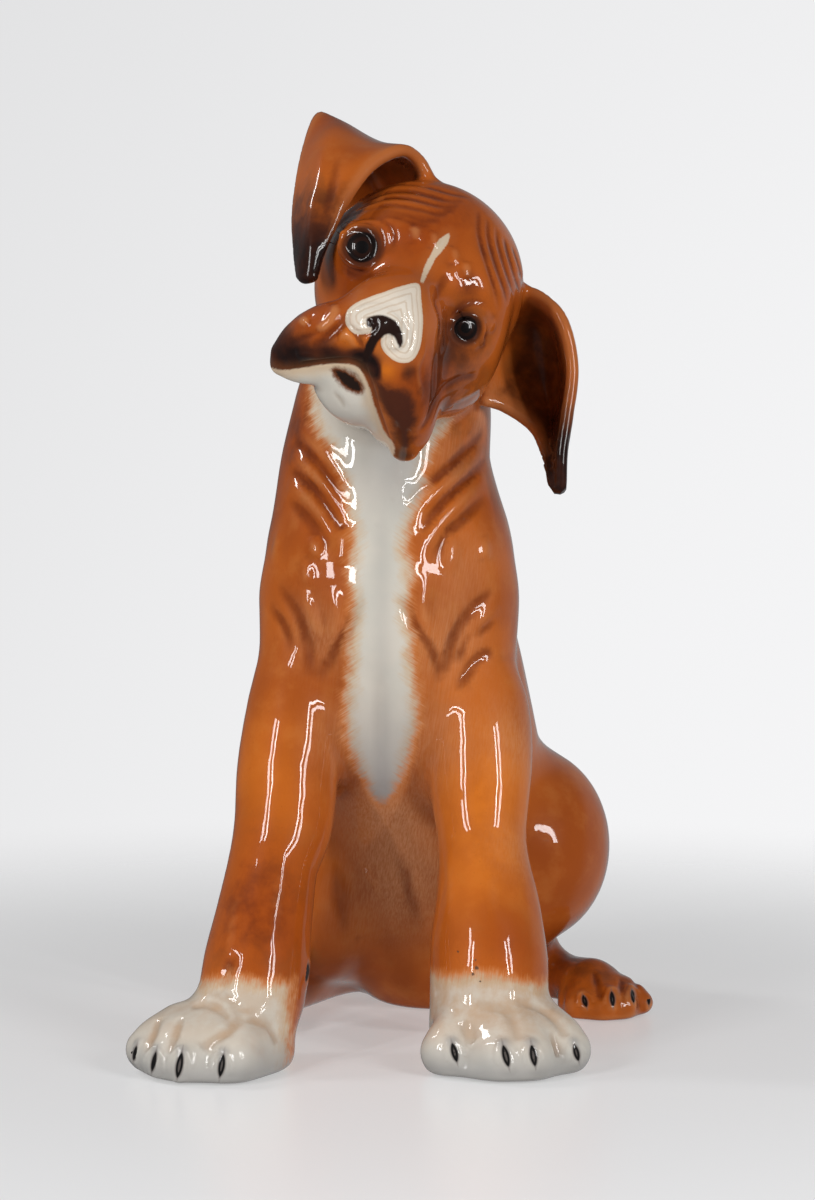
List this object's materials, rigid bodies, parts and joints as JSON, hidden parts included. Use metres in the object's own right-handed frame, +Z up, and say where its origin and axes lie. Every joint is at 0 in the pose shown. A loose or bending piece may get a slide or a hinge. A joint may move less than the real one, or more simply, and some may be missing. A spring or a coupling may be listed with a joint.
{
  "type": "figurine",
  "caption": "Seated glazed ceramic puppy with its head tilted to one side, folded ears and pale paws, a free-standing ornament.",
  "frame": {"origin": "middle of the footprint's box, on the surface that the figure stands on", "axes": "+Z up, the muzzle faces -Y, the puppy's left side is +X"},
  "size_m": [0.2552, 0.2978, 0.4507],
  "materials": {
    "glaze": "gloss"
  },
  "bodies": {
    "root": {"puppy_figurine": "glaze"}
  },
  "joints": []
}
